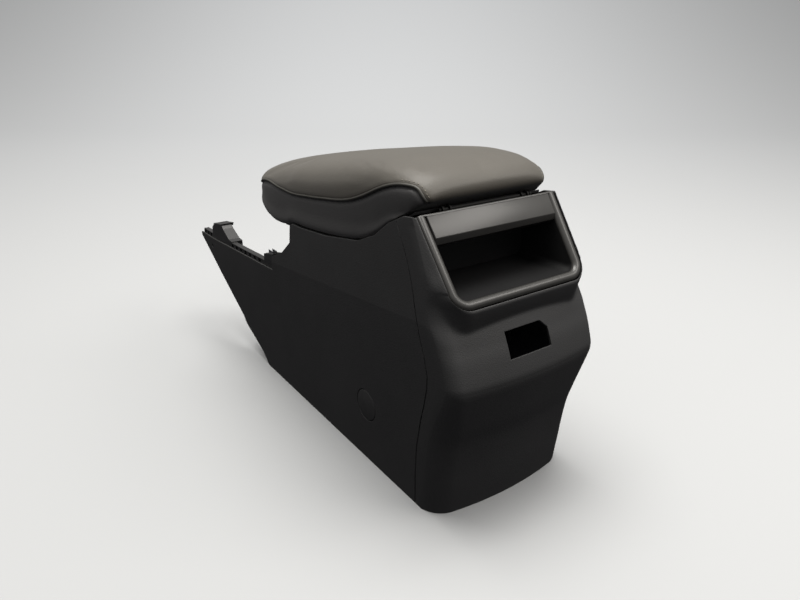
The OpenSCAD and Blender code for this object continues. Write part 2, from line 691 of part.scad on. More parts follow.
cover_t = 1.6;
module armrest_cover() {
    color("#4a4944") at_origin() difference() {
        loft([for (y = lid_stations) lid_ring(y, 0)]);
        loft([for (y = [for (y = lid_stations) if (y > 57 && y < arm_nose - 3) y]) lid_ring(y, cover_t)]);
    }
}
module armrest_foam() {
    color("#c9bf9a") at_origin()
        loft([for (y = [for (y = lid_stations) if (y > 57 && y < arm_nose - 10) y]) lid_ring(y, cover_t + 0.3)]);
}

base_pts = [70, 76, 86, 97, 110, 122, 138, 156, 190, 230, 260, 291,
            post_y - 10, post_y + 9, post_y + 30, post_y + 41];
base_under = fit_gap + base_t;
// Underside of the base plate at y, lower by t; and its slope
function under(y, t = 0) = lid_low(y) - base_under - t;
function under_tilt(y) = atan2(lid_low(y + 3) - lid_low(y - 3), 6);
// Places a drawing on the base's underside, t below it, with +Z into the base
module on_base(x, y, t) translate([x, y, under(y)]) rotate([under_tilt(y), 0, 0])
    translate([0, 0, -t]) children();
// A strip that follows the base's underside from t0 to t1 below it
module base_strip(x0, x1, ys, t0, t1) across(x0, x1) polygon(concat(
    [for (y = ys) [y, under(y, t0)]], [for (i = [len(ys) - 1:-1:0]) [ys[i], under(ys[i], t1)]]));

module armrest_base() {
    color("#202022") at_origin() {
        difference() {
            base_strip(14 - arm_half, arm_half - 14, base_pts, -base_t, 0);
            both_sides() for (y = arm_screw_ys) on_base(arm_screw_x, y, 1) cylinder(h = 9, d = 3.4);
            both_sides() for (y = liner_screw_ys) on_base(liner_screw_x, y, 1) cylinder(h = 9, d = 3.4);
        }
        // ears for the latch pin
        both_sides() across(latch_w / 2 + 1, latch_w / 2 + 4) difference() {
            union() {
                polygon([[latch_y - 5, latch_z], [latch_y - 5, under(latch_y - 5) + 0.5],
                    [latch_y + 5, under(latch_y + 5) + 0.5], [latch_y + 5, latch_z]]);
                translate([latch_y, latch_z]) circle(5);
            }
            translate([latch_y, latch_z]) circle(d = latch_pin_d + 0.04);
        }
    }
}
arm_screw_x = arm_x + 7;
arm_screw_ys = [90, 130];
liner_screw_x = arm_half - 40;
liner_screw_ys = [206, 278];
liner_pts = [190, 230, 260, 291, 305];
latch_y = post_y + 14;
latch_z = 239;
latch_pin_d = 3;

module armrest_liner() {
    color("#1a1a1b") at_origin() difference() {
        base_strip(30 - arm_half, arm_half - 30, liner_pts, 0.1, 2.1);
        both_sides() for (y = liner_screw_ys) on_base(liner_screw_x, y, 4) cylinder(h = 9, d = 3.6);
    }
}
module liner_screws() {
    color("dimgray") at_origin() both_sides() for (y = liner_screw_ys)
        on_base(liner_screw_x, y, 2.2) rotate([0, -90, 0]) tap_screw(4.4);
}

// Steel arm from the hinge pin forward under the armrest's base: an L section
module hinge_arm() {
    ys = [70, 76, 86, 97, 110, 122, 138];
    difference() {
        union() {
            base_strip(arm_x + 1, arm_x + 12, [76, 86, 97, 110, 122, 138], 0.1, 2.1);
            across(arm_x - 1.25, arm_x + 1.25) union() {
                translate(hinge) circle(d = 9);
                polygon(concat([[hinge[0], hinge[1] + 4.4]], [for (y = ys) [y, under(y, 0.1)]],
                    [for (i = [len(ys) - 1:-1:2]) [ys[i], under(ys[i], 7.5)]],
                    [[hinge[0], hinge[1] - 4.4]]));
            }
        }
        rod_x(0, 90, hinge[0], hinge[1], pin_d + 2 * run_gap);
        for (y = arm_screw_ys) on_base(arm_screw_x, y, 5) cylinder(h = 9, d = 3.6);
    }
}
module hinge_arm_right() { color("#8b8d90") at_origin() hinge_arm(); }
module hinge_arm_left() { color("#8b8d90") at_origin() mirror([1, 0, 0]) hinge_arm(); }
module arm_screws() {
    color("dimgray") at_origin() both_sides() for (y = arm_screw_ys)
        on_base(arm_screw_x, y, 2.2) rotate([0, -90, 0]) tap_screw(4.4);
}

// Latch: a paddle under the armrest's nose with a hook that hangs in front of the bin
module latch_lever() {
    color("#202022") at_origin() difference() {
        across(-latch_w / 2, latch_w / 2) union() {
            translate([latch_y, latch_z]) circle(d = 8);
            // finger paddle, hanging clear of the base so that it can be pulled up
            polygon([[latch_y, latch_z - 4], [latch_y + 22, latch_z - 9], [latch_y + 28, latch_z - 9],
                [latch_y + 28, latch_z - 6.5], [latch_y + 22, latch_z - 6.5], [latch_y, latch_z + 2]]);
            polygon([[latch_y - 4, latch_z], [latch_y - 4, latch_z - hook_drop],
                [latch_y - 8, latch_z - hook_drop], [latch_y - 5, latch_z - hook_drop - 3],
                [latch_y - 1, latch_z - hook_drop - 3], [latch_y, latch_z]]);
        }
        rod_x(-60, 60, latch_y, latch_z, latch_pin_d + 2 * run_gap);
    }
}
module latch_pin() {
    color("silver") at_origin() rod_x(-latch_w / 2 - 4, latch_w / 2 + 4, latch_y, latch_z, latch_pin_d);
}

side_panel_left();
side_panel_right();
rear_panel();
rear_tray();
storage_bin();
bin_mat();
floor_sleeves();
screw_cap_left();
screw_cap_right();
front_crossmember();
rail_left();
rail_right();
rail_clips();
panel_screws();
cross_screws();
hinge_bracket();
bracket_screws();
hinge_pin();
striker();
bumpers();
armrest_cover();
armrest_foam();
armrest_base();
armrest_liner();
hinge_arm_left();
hinge_arm_right();
arm_screws();
liner_screws();
latch_lever();
latch_pin();
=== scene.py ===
import math

import bmesh
import bpy
import numpy as np
from mathutils import Matrix, Vector
from mathutils.bvhtree import BVHTree
from mathutils.kdtree import KDTree


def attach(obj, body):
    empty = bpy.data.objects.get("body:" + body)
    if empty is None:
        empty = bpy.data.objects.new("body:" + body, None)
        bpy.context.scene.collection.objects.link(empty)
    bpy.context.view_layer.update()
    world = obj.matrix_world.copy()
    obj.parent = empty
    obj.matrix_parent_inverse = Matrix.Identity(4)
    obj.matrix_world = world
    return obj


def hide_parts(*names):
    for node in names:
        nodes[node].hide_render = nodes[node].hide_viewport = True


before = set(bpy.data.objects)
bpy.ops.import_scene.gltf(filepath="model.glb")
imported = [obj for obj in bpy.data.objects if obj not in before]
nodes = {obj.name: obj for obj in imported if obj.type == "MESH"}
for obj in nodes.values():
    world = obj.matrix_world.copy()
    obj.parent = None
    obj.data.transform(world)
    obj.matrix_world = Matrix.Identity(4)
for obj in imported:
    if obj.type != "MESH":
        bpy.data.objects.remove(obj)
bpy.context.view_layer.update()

# Side panels
# Two injection-moulded polypropylene walls with a fine leather-like grain, matt
# black. They are screwed to the storage bin and the front crossmember.
REAR_TO_MIDDLE = 0.32975      # from the rear bottom edge to the middle of the console


def link(tree, a, out, b, inp):
    tree.links.new(a.outputs[out], b.inputs[inp])


def new_material(name, colour, roughness, specular=0.5):
    mat = bpy.data.materials.new(name)
    mat.use_nodes = True
    tree = mat.node_tree
    shader = tree.nodes["Principled BSDF"]
    shader.inputs["Base Color"].default_value = (*colour, 1)
    shader.inputs["Roughness"].default_value = roughness
    shader.inputs["Specular IOR Level"].default_value = specular
    coords = tree.nodes.new("ShaderNodeTexCoord")
    return mat, tree, shader, coords


def mottle(tree, shader, coords, colour, spread, scale, rough, rough_spread):
    """Uneven colour and gloss, as handled plastic has."""
    cloud = tree.nodes.new("ShaderNodeTexNoise")
    cloud.inputs["Scale"].default_value = scale
    cloud.inputs["Detail"].default_value = 5
    cloud.inputs["Roughness"].default_value = 0.6
    link(tree, coords, "Object", cloud, "Vector")
    ramp = tree.nodes.new("ShaderNodeValToRGB")
    ramp.color_ramp.elements[0].position = 0.3
    ramp.color_ramp.elements[1].position = 0.7
    low = [c * (1 - spread) for c in colour]
    high = [c * (1 + spread) for c in colour]
    ramp.color_ramp.elements[0].color = (*low, 1)
    ramp.color_ramp.elements[1].color = (*high, 1)
    link(tree, cloud, "Fac", ramp, "Fac")
    link(tree, ramp, "Color", shader, "Base Color")
    gloss = tree.nodes.new("ShaderNodeMapRange")
    gloss.inputs["To Min"].default_value = rough - rough_spread
    gloss.inputs["To Max"].default_value = rough + rough_spread
    link(tree, cloud, "Fac", gloss, "Value")
    link(tree, gloss, "Result", shader, "Roughness")


def grain(tree, shader, coords, scale, strength, depth, edge):
    """Moulded grain: small rounded cells over a fine noise, on softly rounded edges."""
    cells = tree.nodes.new("ShaderNodeTexVoronoi")
    cells.feature = "SMOOTH_F1"
    cells.inputs["Scale"].default_value = scale
    cells.inputs["Smoothness"].default_value = 0.6
    fine = tree.nodes.new("ShaderNodeTexNoise")
    fine.inputs["Scale"].default_value = scale * 2.3
    fine.inputs["Detail"].default_value = 3
    link(tree, coords, "Object", cells, "Vector")
    link(tree, coords, "Object", fine, "Vector")
    both = tree.nodes.new("ShaderNodeMath")
    both.operation = "MULTIPLY_ADD"
    both.inputs[1].default_value = 0.5
    link(tree, fine, "Fac", both, 0)
    link(tree, cells, "Distance", both, 2)
    bump = tree.nodes.new("ShaderNodeBump")
    bump.inputs["Strength"].default_value = strength
    bump.inputs["Distance"].default_value = depth
    link(tree, both, "Value", bump, "Height")
    if edge:
        soft_edge = tree.nodes.new("ShaderNodeBevel")
        soft_edge.samples = 4
        soft_edge.inputs["Radius"].default_value = edge
        link(tree, soft_edge, "Normal", bump, "Normal")
    link(tree, bump, "Normal", shader, "Normal")


PANEL_BLACK = (0.034, 0.034, 0.035)
panel_plastic, tree, shader, coords = new_material("grained_panel", PANEL_BLACK, 0.55)
mottle(tree, shader, coords, PANEL_BLACK, 0.06, 14, 0.56, 0.03)
grain(tree, shader, coords, 900, 0.35, 0.0004, 0.0012)


def dress(material, *names):
    for name in names:
        slots = nodes[name].data.materials
        if len(slots):
            for i in range(len(slots)):
                slots[i] = material
        else:
            slots.append(material)


dress(panel_plastic, "side_panel_left", "side_panel_right")

# Rear panel
# One moulding of the same grained plastic. It bulges out behind the foot,
# slopes back up to a shallow recess under the tray's frame, and its empty
# cut-out takes a socket. It clips in between the side panels.
SEAM = [(0, 41), (40, 41), (77, 39), (115, 32), (132, 27.5), (156, 22.5), (170, 22.3), (190, 27.5),
        (205, 34), (232, 43), (262, 53), (282, 62.5), (301, 74), (317, 84), (330, 91)]
BACK = [(0, -1), (30, -4), (60, -6.5), (90, -10.45), (115, -17.05), (140, -22.8), (152, -25.5),
        (158, -26.8), (162, -27.3), (165, -27.4), (169, -26.9), (174, -25.5), (182, -22.8), (190, -19.9),
        (196, -17.4), (205, -13), (213, -9.1), (219, -5.9), (225, -2.6), (231, 0.2), (238, 2.2), (246, 3.4), (262, 4.4),
        (290, 25.4), (317, 45.9), (326, 52.8)]
CORNER = [(0, 24), (110, 21.6), (168, 13), (213, 13), (262, 22), (330, 22)]
BOW = [(0, 7), (222, 7), (234, 6.4), (246, 5.2), (262, 2.1), (290, 1.05), (330, 1.05)]
COLLAR = [(0, 0.4), (1.5, 0.5), (3, 1.0), (4.5, 2.2), (6, 3.6), (8, 5.5), (12, 9.5), (16, 13.7), (20, 18),
          (24, 22.2), (28, 26.2), (40, 39), (300, 278)]
LID_EDGE = [(40, 331), (58, 331), (66, 327.3), (76, 320.8), (97, 310.8), (122, 291.8)]
FRAME_LOW, FRAME_HIGH = (-6, 246), (55, 326.5)
FRAME_TOP_HALF, FRAME_LOW_HALF, FRAME_ROUND = 94, 90, 20
TILT = math.atan2(FRAME_HIGH[1] - FRAME_LOW[1], FRAME_HIGH[0] - FRAME_LOW[0])
FRAME_LENGTH = math.hypot(FRAME_HIGH[1] - FRAME_LOW[1], FRAME_HIGH[0] - FRAME_LOW[0]) / 1000
PANEL_WALL = 0.0025


def along(table, value):
    """Smooth value of a table of places, with the slope of its neighbours."""
    t = np.array(table, float)
    x, y = t[:, 0], t[:, 1]
    value = float(np.clip(value, x[0], x[-1]))
    k = int(np.clip(np.searchsorted(x, value) - 1, 0, len(x) - 2))
    slope = np.diff(y) / np.diff(x)
    def tangent(i):
        if i == 0 or i == len(x) - 1:
            return slope[min(i, len(slope) - 1)]
        a, b = slope[i - 1], slope[i]
        return 0.0 if a * b <= 0 else 2 * a * b / (a + b)
    h = x[k + 1] - x[k]
    s = (value - x[k]) / h
    return ((2 * s ** 3 - 3 * s ** 2 + 1) * y[k] + (s ** 3 - 2 * s ** 2 + s) * h * tangent(k)
            + (3 * s ** 2 - 2 * s ** 3) * y[k + 1] + (s ** 3 - s ** 2) * h * tangent(k + 1))


def place(x, y, z):
    return Vector((x / 1000, y / 1000 - REAR_TO_MIDDLE, z / 1000))


def body_half(y, z):
    """Half width of the body: widest at its crease, leaning in above it."""
    fall = math.radians(6.4)
    above = (z - 229) * math.cos(fall) + y * math.sin(fall)
    return 103.5 + (0.009 * above if above < 0 else -0.058 * above)


def collar(x, z):
    """The panel swells to a collar round the tray's frame, over a recess below it."""
    v = (z - FRAME_LOW[1]) / math.sin(TILT)
    dx = max(0.0, x - FRAME_LOW_HALF + FRAME_ROUND)
    if v < FRAME_ROUND:
        h = math.hypot(dx, FRAME_ROUND - v)
        out, sideways = h - FRAME_ROUND, dx / h
    else:
        widening = (FRAME_TOP_HALF - FRAME_LOW_HALF) * v / (1000 * FRAME_LENGTH)
        out, sideways = x - FRAME_LOW_HALF - widening, 1.0
    reach = max(0.0, out) * math.sin(TILT) * (1 + (1.3 if v > 40 else 2.1 - 0.02 * max(0.0, v)) * sideways ** 2)
    return FRAME_LOW[0] + (z - FRAME_LOW[1]) / math.tan(TILT) + along(COLLAR, reach)


def soft_min(a, b, k):
    t = min(1.0, max(0.0, 0.5 + 0.5 * (b - a) / k))
    return b + (a - b) * t - k * t * (1 - t)


def swell(z, run):
    """Middle profile; its lower fold rises and rounds off towards the corners."""
    t = min(1.0, max(0.0, (run - 80) / 28))
    fold = 165 + 20 * (1 - math.sqrt(1 - t * t))
    lit = along(BACK, z) if z > 165 else along(BACK, 165) - 0.3 * (165 - z)
    under_z = z - (fold - 165)
    under = along(BACK, under_z) if under_z < 165 else along(BACK, 165) - 0.3 * (under_z - 165)
    return -soft_min(-lit, -under, 0.9)


def back_path(z):
    """Plan of the rear panel at one height, from the left seam to the right."""
    seam = float(np.interp(z, [q[0] for q in SEAM], [q[1] for q in SEAM])) - 0.8
    half = body_half(seam, z)
    r = along(CORNER, z)
    bow = along(BOW, z)
    flat = half - r
    blunt = 0.32 if z < 225 else 0.32 * max(0.0, (262 - z) / 37)
    right = []
    for i in range(27):
        x = flat * i / 26
        right.append((x, soft_min(swell(z, x) + bow * (x / flat) ** 2, collar(x, z), 1.6)))
    for i in range(1, 19):
        a = math.radians(5 * i)
        arc = Vector((r * math.sin(a), r * (1 - math.cos(a))))
        x, rise = arc.lerp(Vector((r * i / 18, r * i / 18)), blunt)
        base = swell(z, flat + r * i / 18) + bow + rise
        right.append((flat + x, soft_min(base, collar(flat + x, z), 2.5)))
    y1 = right[-1][1]
    end = max(seam, y1 + 1)
    right.append((half, y1 + (end - y1) / 2))
    right.append((half, end))
    return [(-x, y) for x, y in reversed(right[1:])] + right


def activate(obj):
    bpy.ops.object.select_all(action="DESELECT")
    obj.select_set(True)
    bpy.context.view_layer.objects.active = obj


def apply_all(obj):
    activate(obj)
    for m in list(obj.modifiers):
        bpy.ops.object.modifier_apply(modifier=m.name)


def named(name):
    obj = bpy.context.object
    obj.name = name
    obj.data.name = name
    return obj


def u_sheet(name, half_top, half_low, v0, v1, radius):
    """Flat sheet in the frame's own plane, straight at the top and round below."""
    bpy.ops.object.select_all(action="DESELECT")
    bpy.ops.mesh.primitive_plane_add(size=1)
    obj = named(name)
    bpy.ops.object.mode_set(mode="EDIT")
    bm = bmesh.from_edit_mesh(obj.data)
    for v in bm.verts:
        top = v.co.y > 0
        v.co = Vector((math.copysign(half_top if top else half_low, v.co.x), v1 if top else v0, 0))
        v.select = not top
    bm.select_flush_mode()
    bmesh.update_edit_mesh(obj.data)
    bpy.ops.mesh.select_mode(type="VERT")
    bpy.ops.mesh.bevel(offset=radius, segments=10, affect="VERTICES", clamp_overlap=False)
    bpy.ops.object.mode_set(mode="OBJECT")
    return obj


ON_SLOPE = (Matrix.Translation(place(0, *FRAME_LOW)) @ Matrix.Rotation(TILT, 4, "X"))


def settle(obj, matrix):
    """Puts a piece in place and leaves its object at the origin."""
    obj.matrix_world = matrix
    activate(obj)
    bpy.ops.object.transform_apply(location=True, rotation=True, scale=True)


def cut_away(obj, cutter):
    m = obj.modifiers.new("cut", "BOOLEAN")
    m.operation = "DIFFERENCE"
    m.solver = "FAST"
    m.object = cutter
    apply_all(obj)
    bpy.data.objects.remove(cutter)


def thicken_both_ways(obj, depth):
    m = obj.modifiers.new("depth", "SOLIDIFY")
    m.thickness = depth
    m.offset = 0
    apply_all(obj)


levels = list(np.linspace(0, 144, 32)) + list(np.linspace(147, 266, 96)) + list(np.linspace(269, 325, 24))
across_count = len(back_path(100))
bpy.ops.object.select_all(action="DESELECT")
bpy.ops.mesh.primitive_grid_add(x_subdivisions=across_count - 1, y_subdivisions=len(levels) - 1, size=1)
rear_panel = named("rear_panel_shell")
points = [p for p in sorted(rear_panel.data.vertices, key=lambda v: (round(v.co.y, 5), v.co.x))]
for row, z in enumerate(levels):
    path = back_path(z)
    for column, (x, y) in enumerate(path):
        room = min(325.0, along(LID_EDGE, max(y, 40))) - 262      # the shoulders stay under the armrest
        points[row * across_count + column].co = place(x, y, z if z < 262 else 262 + (z - 262) * room / 63)
wall = rear_panel.modifiers.new("wall", "SOLIDIFY")
wall.thickness = PANEL_WALL
wall.offset = -1
apply_all(rear_panel)
window = u_sheet("window_cut", 0.0956, 0.0909, -0.0009, FRAME_LENGTH + 0.0203, 0.0209)
thicken_both_ways(window, 0.06)
settle(window, ON_SLOPE)
cut_away(rear_panel, window)
bpy.ops.object.select_all(action="DESELECT")
bpy.ops.mesh.primitive_plane_add(size=1)
socket = named("socket_cut")
bpy.ops.object.mode_set(mode="EDIT")
bm = bmesh.from_edit_mesh(socket.data)
for v in bm.verts:
    v.co = Vector((math.copysign(0.029, v.co.x), math.copysign(0.0145, v.co.y), 0))
    v.select = v.co.x > 0 and v.co.y > 0
bm.select_flush_mode()
bmesh.update_edit_mesh(socket.data)
bpy.ops.mesh.select_mode(type="VERT")
bpy.ops.mesh.bevel(offset=0.009, segments=1, affect="VERTICES")
bpy.ops.object.mode_set(mode="OBJECT")
thicken_both_ways(socket, 0.028)
settle(socket, Matrix.Translation(place(-2, along(BACK, 200.5), 200.5)) @ Matrix.Rotation(math.radians(64), 4, "X"))
cut_away(rear_panel, socket)
activate(rear_panel)
bpy.ops.object.shade_smooth_by_angle(angle=math.radians(32))
rear_panel.data.materials.append(panel_plastic)
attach(rear_panel, "console")
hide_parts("rear_panel")

# Round covers
# A plain disc of the side panels' plastic over each lower screw, pressed into
# its recess with a narrow open gap round a softly rounded edge.
COVER_GAP = 0.0006
for name in ("screw_cap_left", "screw_cap_right"):
    cover = bpy.data.objects.new(name.replace("screw_cap", "round_cover"), nodes[name].data.copy())
    cover.data.name = cover.name
    bpy.context.scene.collection.objects.link(cover)
    activate(cover)
    bpy.ops.object.mode_set(mode="EDIT")
    bpy.ops.mesh.select_all(action="SELECT")
    bpy.ops.mesh.remove_doubles(threshold=0.00001)
    bpy.ops.mesh.dissolve_limited(angle_limit=math.radians(2))
    bpy.ops.object.mode_set(mode="OBJECT")
    spots = np.array([v.co for v in cover.data.vertices])
    centre = (spots.min(0) + spots.max(0)) / 2
    share = 1 - 2 * COVER_GAP / np.ptp(spots[:, 2])
    for v in cover.data.vertices:
        v.co.y = centre[1] + (v.co.y - centre[1]) * share
        v.co.z = centre[2] + (v.co.z - centre[2]) * share
    edge = cover.modifiers.new("edge", "BEVEL")
    edge.width = 0.0007
    edge.segments = 3
    edge.limit_method = "ANGLE"
    edge.angle_limit = math.radians(50)
    apply_all(cover)
    bpy.ops.object.shade_smooth_by_angle(angle=math.radians(32))
    cover.data.materials.clear()
    cover.data.materials.append(panel_plastic)
    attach(cover, "console")
    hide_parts(name)

# Tray frame
# A smooth satin black moulding on the slope over the rear panel: a half-round
# rim down both sides and along the bottom, and the open tray behind it. It
# clips into the rear panel.
FRAME_BLACK = (0.042, 0.041, 0.039)
frame_plastic, tree, shader, coords = new_material("satin_frame", FRAME_BLACK, 0.29)
mottle(tree, shader, coords, FRAME_BLACK, 0.08, 14, 0.30, 0.04)
grain(tree, shader, coords, 1500, 0.08, 0.0002, 0)
RIM = 0.0102
RIM_ROUND = 0.0048
tray = u_sheet("tray_frame", 0.094, 0.090, 0, FRAME_LENGTH, 0.020)
bpy.ops.object.mode_set(mode="EDIT")
bpy.ops.mesh.select_mode(type="FACE")
bpy.ops.mesh.select_all(action="SELECT")
bpy.ops.mesh.inset(thickness=RIM)
bm = bmesh.from_edit_mesh(tray.data)
for v in bm.verts:                       # the rim has no bar along the top
    if v.select and v.co.y > FRAME_LENGTH - RIM - 0.003:
        v.co.y = FRAME_LENGTH - 0.002
bmesh.update_edit_mesh(tray.data)
bm = bmesh.from_edit_mesh(tray.data)
inner_edges = [e for f in bm.faces if f.select for e in f.edges]
inner_keys = [tuple(sorted((v.index for v in e.verts))) for e in inner_edges]


def sink(shape):
    """Extrudes the selected face and moves its new corners by a rule."""
    bpy.ops.mesh.extrude_region_move()
    b = bmesh.from_edit_mesh(tray.data)
    for v in b.verts:
        if v.select:
            v.co = shape(v.co)
    bmesh.update_edit_mesh(tray.data)


into = ON_SLOPE.inverted()
open_low, open_high = RIM, FRAME_LENGTH - 0.002


def straight_in(co):
    return Vector((co.x * 0.994, co.y, -0.005))


def at_floor(co):
    t = (co.y - open_low) / (open_high - open_low)
    y, z = 8 + t * (62 - 8), 250 + t * (304 - 250)
    return into @ place(co.x * 1000 * 0.985, y, z)


def flat_back(co):
    p = ON_SLOPE @ co
    t = (p.z * 1000 - 250) / (304 - 250)
    return into @ place(co.x * 1000 * 0.97, 83, 249 + t * (302 - 249))


sink(straight_in)
sink(at_floor)
sink(flat_back)
bpy.ops.mesh.select_mode(type="EDGE")
bpy.ops.mesh.select_all(action="DESELECT")
bm = bmesh.from_edit_mesh(tray.data)
outer = [e for e in bm.edges if e.is_boundary]
for e in outer:
    e.select = True
bmesh.update_edit_mesh(tray.data)
bpy.ops.mesh.extrude_region_move(TRANSFORM_OT_translate={"value": (0, 0, -0.010)})
bpy.ops.mesh.select_all(action="DESELECT")
bm = bmesh.from_edit_mesh(tray.data)
for e in bm.edges:
    flat = all(abs(v.co.z) < 1e-6 for v in e.verts)
    turns = len(e.link_faces) == 2 and e.link_faces[0].normal.angle(e.link_faces[1].normal, 0) > 1.0
    if flat and turns and not all(v.co.y > FRAME_LENGTH - 0.003 for v in e.verts):
        e.select = True
bmesh.update_edit_mesh(tray.data)
bpy.ops.mesh.bevel(offset=RIM_ROUND, segments=6, affect="EDGES", clamp_overlap=True)
bpy.ops.mesh.select_all(action="SELECT")
bpy.ops.mesh.normals_make_consistent(inside=False)
bpy.ops.object.mode_set(mode="OBJECT")
settle(tray, ON_SLOPE)
activate(tray)
bpy.ops.object.shade_smooth_by_angle(angle=math.radians(35))
tray.data.materials.append(frame_plastic)
# Painted shade: faces deep inside the tray get a darker, rougher copy of the frame's black, standing for the shade in
# the cavity
TRAY_SHADE_BLACK = (0.006, 0.006, 0.0065)
tray_painted_shade, tree, shader, coords = new_material("tray_painted_shade", TRAY_SHADE_BLACK, 0.6, 0.25)
mottle(tree, shader, coords, TRAY_SHADE_BLACK, 0.15, 18, 0.6, 0.05)
grain(tree, shader, coords, 1100, 0.12, 0.0002, 0)
tray.data.materials.append(tray_painted_shade)
for face in tray.data.polygons:
    if (into @ face.center).z < -0.0046 and (into @ face.center).y > 0.004:
        face.material_index = 1
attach(tray, "console")
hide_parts("rear_tray")

# Tray band
# The flat band across the top of the frame, of the same satin plastic, with a
# bevelled lower edge over the tray's mouth. It clips in between the rims.
BAND_HIGH = 0.030
bpy.ops.object.select_all(action="DESELECT")
bpy.ops.mesh.primitive_cube_add(size=1)
band = named("tray_band")
v_top = FRAME_LENGTH - 0.0005
v_low = v_top - BAND_HIGH
bpy.ops.object.mode_set(mode="EDIT")
bm = bmesh.from_edit_mesh(band.data)
rim_in_top, rim_in_low = 0.094 - RIM - 0.0008, 0.094 - RIM - 0.0008 - 0.004 * BAND_HIGH / FRAME_LENGTH
for v in bm.verts:
    high = v.co.y > 0
    front = v.co.z > 0
    v.co = Vector((math.copysign(rim_in_top if high else rim_in_low, v.co.x),
                   v_top if high else v_low, -0.0004 if front else -0.012))
bm.normal_update()
for e in bm.edges:
    e.select = all(v.co.z > -0.002 and v.co.y < v_low + 0.001 for v in e.verts)
bmesh.update_edit_mesh(band.data)
bpy.ops.mesh.select_mode(type="EDGE")
bpy.ops.mesh.bevel(offset=0.0052, segments=1, affect="EDGES")
bpy.ops.mesh.select_all(action="SELECT")
bpy.ops.object.mode_set(mode="OBJECT")
edge = band.modifiers.new("edge", "BEVEL")
edge.width = 0.0006
edge.segments = 3
edge.limit_method = "ANGLE"
edge.angle_limit = math.radians(25)
apply_all(band)
settle(band, ON_SLOPE)
activate(band)
bpy.ops.object.shade_smooth_by_angle(angle=math.radians(30))
band.data.materials.append(frame_plastic)
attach(band, "console")

# Storage bin, rails and crossmember
# Structural mouldings with a plain as-moulded surface. The rails' slots and
# end blocks take the clips of the missing front cover.
INNER_BLACK = (0.022, 0.022, 0.023)
inner_plastic, tree, shader, coords = new_material("moulded_black", INNER_BLACK, 0.48)
mottle(tree, shader, coords, INNER_BLACK, 0.15, 20, 0.48, 0.07)
grain(tree, shader, coords, 400, 0.06, 0.0003, 0.0007)
dress(inner_plastic, "storage_bin", "front_crossmember", "rail_left", "rail_right",
      "armrest_base", "armrest_liner", "latch_lever")

# Mat and bumpers
# Soft black rubber: a mat that lies on the bin's floor and four stops that
# the armrest closes on to.
RUBBER_BLACK = (0.018, 0.018, 0.018)
rubber, tree, shader, coords = new_material("soft_rubber", RUBBER_BLACK, 0.8, 0.3)
mottle(tree, shader, coords, RUBBER_BLACK, 0.2, 30, 0.8, 0.05)
grain(tree, shader, coords, 700, 0.2, 0.0003, 0.0005)
dress(rubber, "bin_mat", "bumpers")

# Steel pieces
# Near-black hinge pressings, darkened as painted shade for the dark gap under the armrest where they show, zinc-plated
# floor sleeves, darker zinc on the screws, and bright spring steel on the clips. Brushing runs along the pieces.


def steel(name, colour, roughness, stretch):
    mat, tree, shader, coords = new_material(name, colour, roughness)
    shader.inputs["Metallic"].default_value = 1
    turn = tree.nodes.new("ShaderNodeMapping")
    turn.inputs["Scale"].default_value = (1, stretch, stretch)
    lines = tree.nodes.new("ShaderNodeTexNoise")
    lines.inputs["Scale"].default_value = 260
    lines.inputs["Detail"].default_value = 4
    link(tree, coords, "Object", turn, "Vector")
    link(tree, turn, "Vector", lines, "Vector")
    gloss = tree.nodes.new("ShaderNodeMapRange")
    gloss.inputs["To Min"].default_value = roughness - 0.1
    gloss.inputs["To Max"].default_value = roughness + 0.12
    link(tree, lines, "Fac", gloss, "Value")
    link(tree, gloss, "Result", shader, "Roughness")
    bump = tree.nodes.new("ShaderNodeBump")
    bump.inputs["Strength"].default_value = 0.1
    bump.inputs["Distance"].default_value = 0.0002
    link(tree, lines, "Fac", bump, "Height")
    link(tree, bump, "Normal", shader, "Normal")
    return mat


zinc = steel("zinc_plate", (0.42, 0.43, 0.44), 0.38, 4)
dark_zinc = steel("screw_zinc", (0.2, 0.2, 0.21), 0.42, 1)
bright = steel("bright_steel", (0.66, 0.67, 0.68), 0.25, 3)
# Painted shade: the hinge pieces and striker are near-black, standing for the shade in the gap under the armrest
gap_shade_steel = steel("gap_shade_steel", (0.009, 0.009, 0.009), 0.6, 2)
gap_shade_steel.node_tree.nodes["Principled BSDF"].inputs["Metallic"].default_value = 0.6
dress(gap_shade_steel, "hinge_bracket", "striker", "hinge_arm_left", "hinge_arm_right", "hinge_pin")
dress(zinc, "floor_sleeves")
dress(dark_zinc, "panel_screws", "cross_screws", "bracket_screws", "arm_screws", "liner_screws")
dress(bright, "latch_pin", "rail_clips")

# Armrest cushion
# Moulded foam under sewn leatherette, warm dark grey with a fine grain and a
# broad soft sheen. A top panel wraps down over the rear end, and a side band
# joins it at a rolled seam that humps up near the rear.
WIDTH = [(54, .74), (56, .785), (60, .83), (66, .87), (76, .912), (90, .945), (110, .97), (130, .985),
         (200, 1), (300, 1), (340, .99), (370, .985), (400, .97), (424, .935), (438, .875),
         (448, .77), (452, .64)]
UNDERSIDE = [(54, 337.5), (56, 335.5), (58, 334), (66, 328.5), (76, 322), (97, 312), (122, 293),
             (156, 278), (230, 265), (291, 259), (320, 257.6), (334, 252.5), (355, 247), (373, 246),
             (397, 249), (424, 258), (438, 265.5), (448, 274.5), (452, 283)]
TOP = [(54, 343), (56, 348.5), (60, 353.5), (66, 358.5), (76, 363), (86, 365.8), (97, 367.4),
       (110, 368), (122, 368), (138, 367.4), (156, 365.5), (190, 361.3), (230, 355), (260, 350),
       (291, 345), (315, 341), (334, 337.5), (355, 333.7), (373, 330.2), (397, 325), (424, 318),
       (438, 311.5), (448, 303), (452, 296)]
ACROSS = [(54, .42), (70, .36), (130, .35), (200, .45), (400, .6), (460, .6)]
UP = [(54, .62), (80, .60), (130, .54), (200, .62), (400, .78), (460, .78)]
WIDEST = [(54, .1), (80, .15), (120, .35), (200, .45), (400, .5), (460, .5)]


